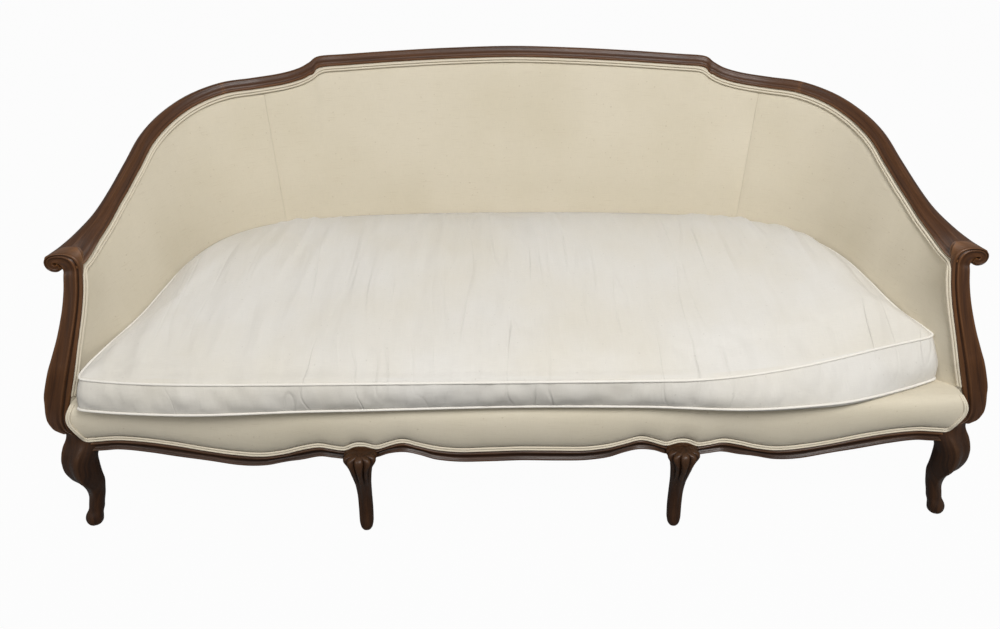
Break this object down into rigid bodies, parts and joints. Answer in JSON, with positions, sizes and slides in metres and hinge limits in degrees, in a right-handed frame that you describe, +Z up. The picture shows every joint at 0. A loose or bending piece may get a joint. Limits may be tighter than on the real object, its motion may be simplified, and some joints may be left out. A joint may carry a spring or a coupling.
{
  "type": "cabriole sofa",
  "caption": "Long upholstered canape with a carved show-wood frame, wrap-around back, cabriole front legs and one loose bench cushion.",
  "frame": {"origin": "centre of the bounding box in plan, on the floor under the feet", "axes": "+X to the right seen from the front, +Y to the back, +Z up; the front faces -Y"},
  "size_m": [2.04, 0.857, 0.9054],
  "materials": {
    "walnut": "dark walnut, hand-rubbed satin",
    "beech": "bare sawn beech",
    "cream_linen": "slubby cream linen and cotton cloth",
    "cream_welt": "double cord in the cover cloth",
    "white_linen": "washed white linen",
    "white_welt": "cord in washed white linen",
    "jute": "woven jute",
    "hair_stuffing": "curled hair and cotton wadding",
    "cushion_filling": "feather and foam core in ticking",
    "spring_steel": "coppered spring wire gone dull",
    "zip_tape": "nylon zip on cotton tape",
    "black_cambric": "plain black cambric"
  },
  "bodies": {
    "frame": {"crest_rail": "walnut", "arm_rail_left": "walnut", "arm_rail_right": "walnut", "arm_post_left": "walnut", "arm_post_right": "walnut", "front_rail": "walnut", "front_leg_left": "walnut", "front_leg_right": "walnut", "front_leg_mid_left": "walnut", "front_leg_mid_right": "walnut", "rear_leg_left": "walnut", "rear_leg_right": "walnut", "rear_leg_mid_left": "walnut", "rear_leg_mid_right": "walnut", "rear_seat_rail": "beech", "side_seat_rail_left": "beech", "side_seat_rail_right": "beech", "corner_upright_left": "beech", "corner_upright_right": "beech", "back_upright_left": "beech", "back_upright_right": "beech", "top_tack_rail": "beech", "arm_tack_rail_left": "beech", "arm_tack_rail_right": "beech", "lower_tack_rail": "beech", "seat_braces": "beech", "corner_blocks": "beech", "leg_dowels": "beech", "seat_webbing": "jute", "seat_springs": "spring_steel", "spring_hessian": "jute", "deck_stuffing": "hair_stuffing", "deck_cover": "cream_linen", "front_border": "cream_linen", "front_welt": "cream_welt", "back_hessian": "jute", "arm_hessian_left": "jute", "arm_hessian_right": "jute", "back_stuffing": "hair_stuffing", "arm_stuffing_left": "hair_stuffing", "arm_stuffing_right": "hair_stuffing", "back_cover": "cream_linen", "arm_cover_left": "cream_linen", "arm_cover_right": "cream_linen", "outside_back_cover": "cream_linen", "outside_arm_cover_left": "cream_linen", "outside_arm_cover_right": "cream_linen", "wall_welt": "cream_welt", "dust_cover": "black_cambric"},
    "cushion": {"cushion_cover": "white_linen", "cushion_base_panel": "white_linen", "cushion_filling": "cushion_filling", "cushion_welt_top": "white_welt", "cushion_welt_bottom": "white_welt", "cushion_zip": "zip_tape"}
  },
  "joints": [
    {"name": "cushion_lift", "type": "slide", "parent": "frame", "child": "cushion", "axis": [0, -0.5, 0.866], "range_m": [0, 0.7]}
  ]
}
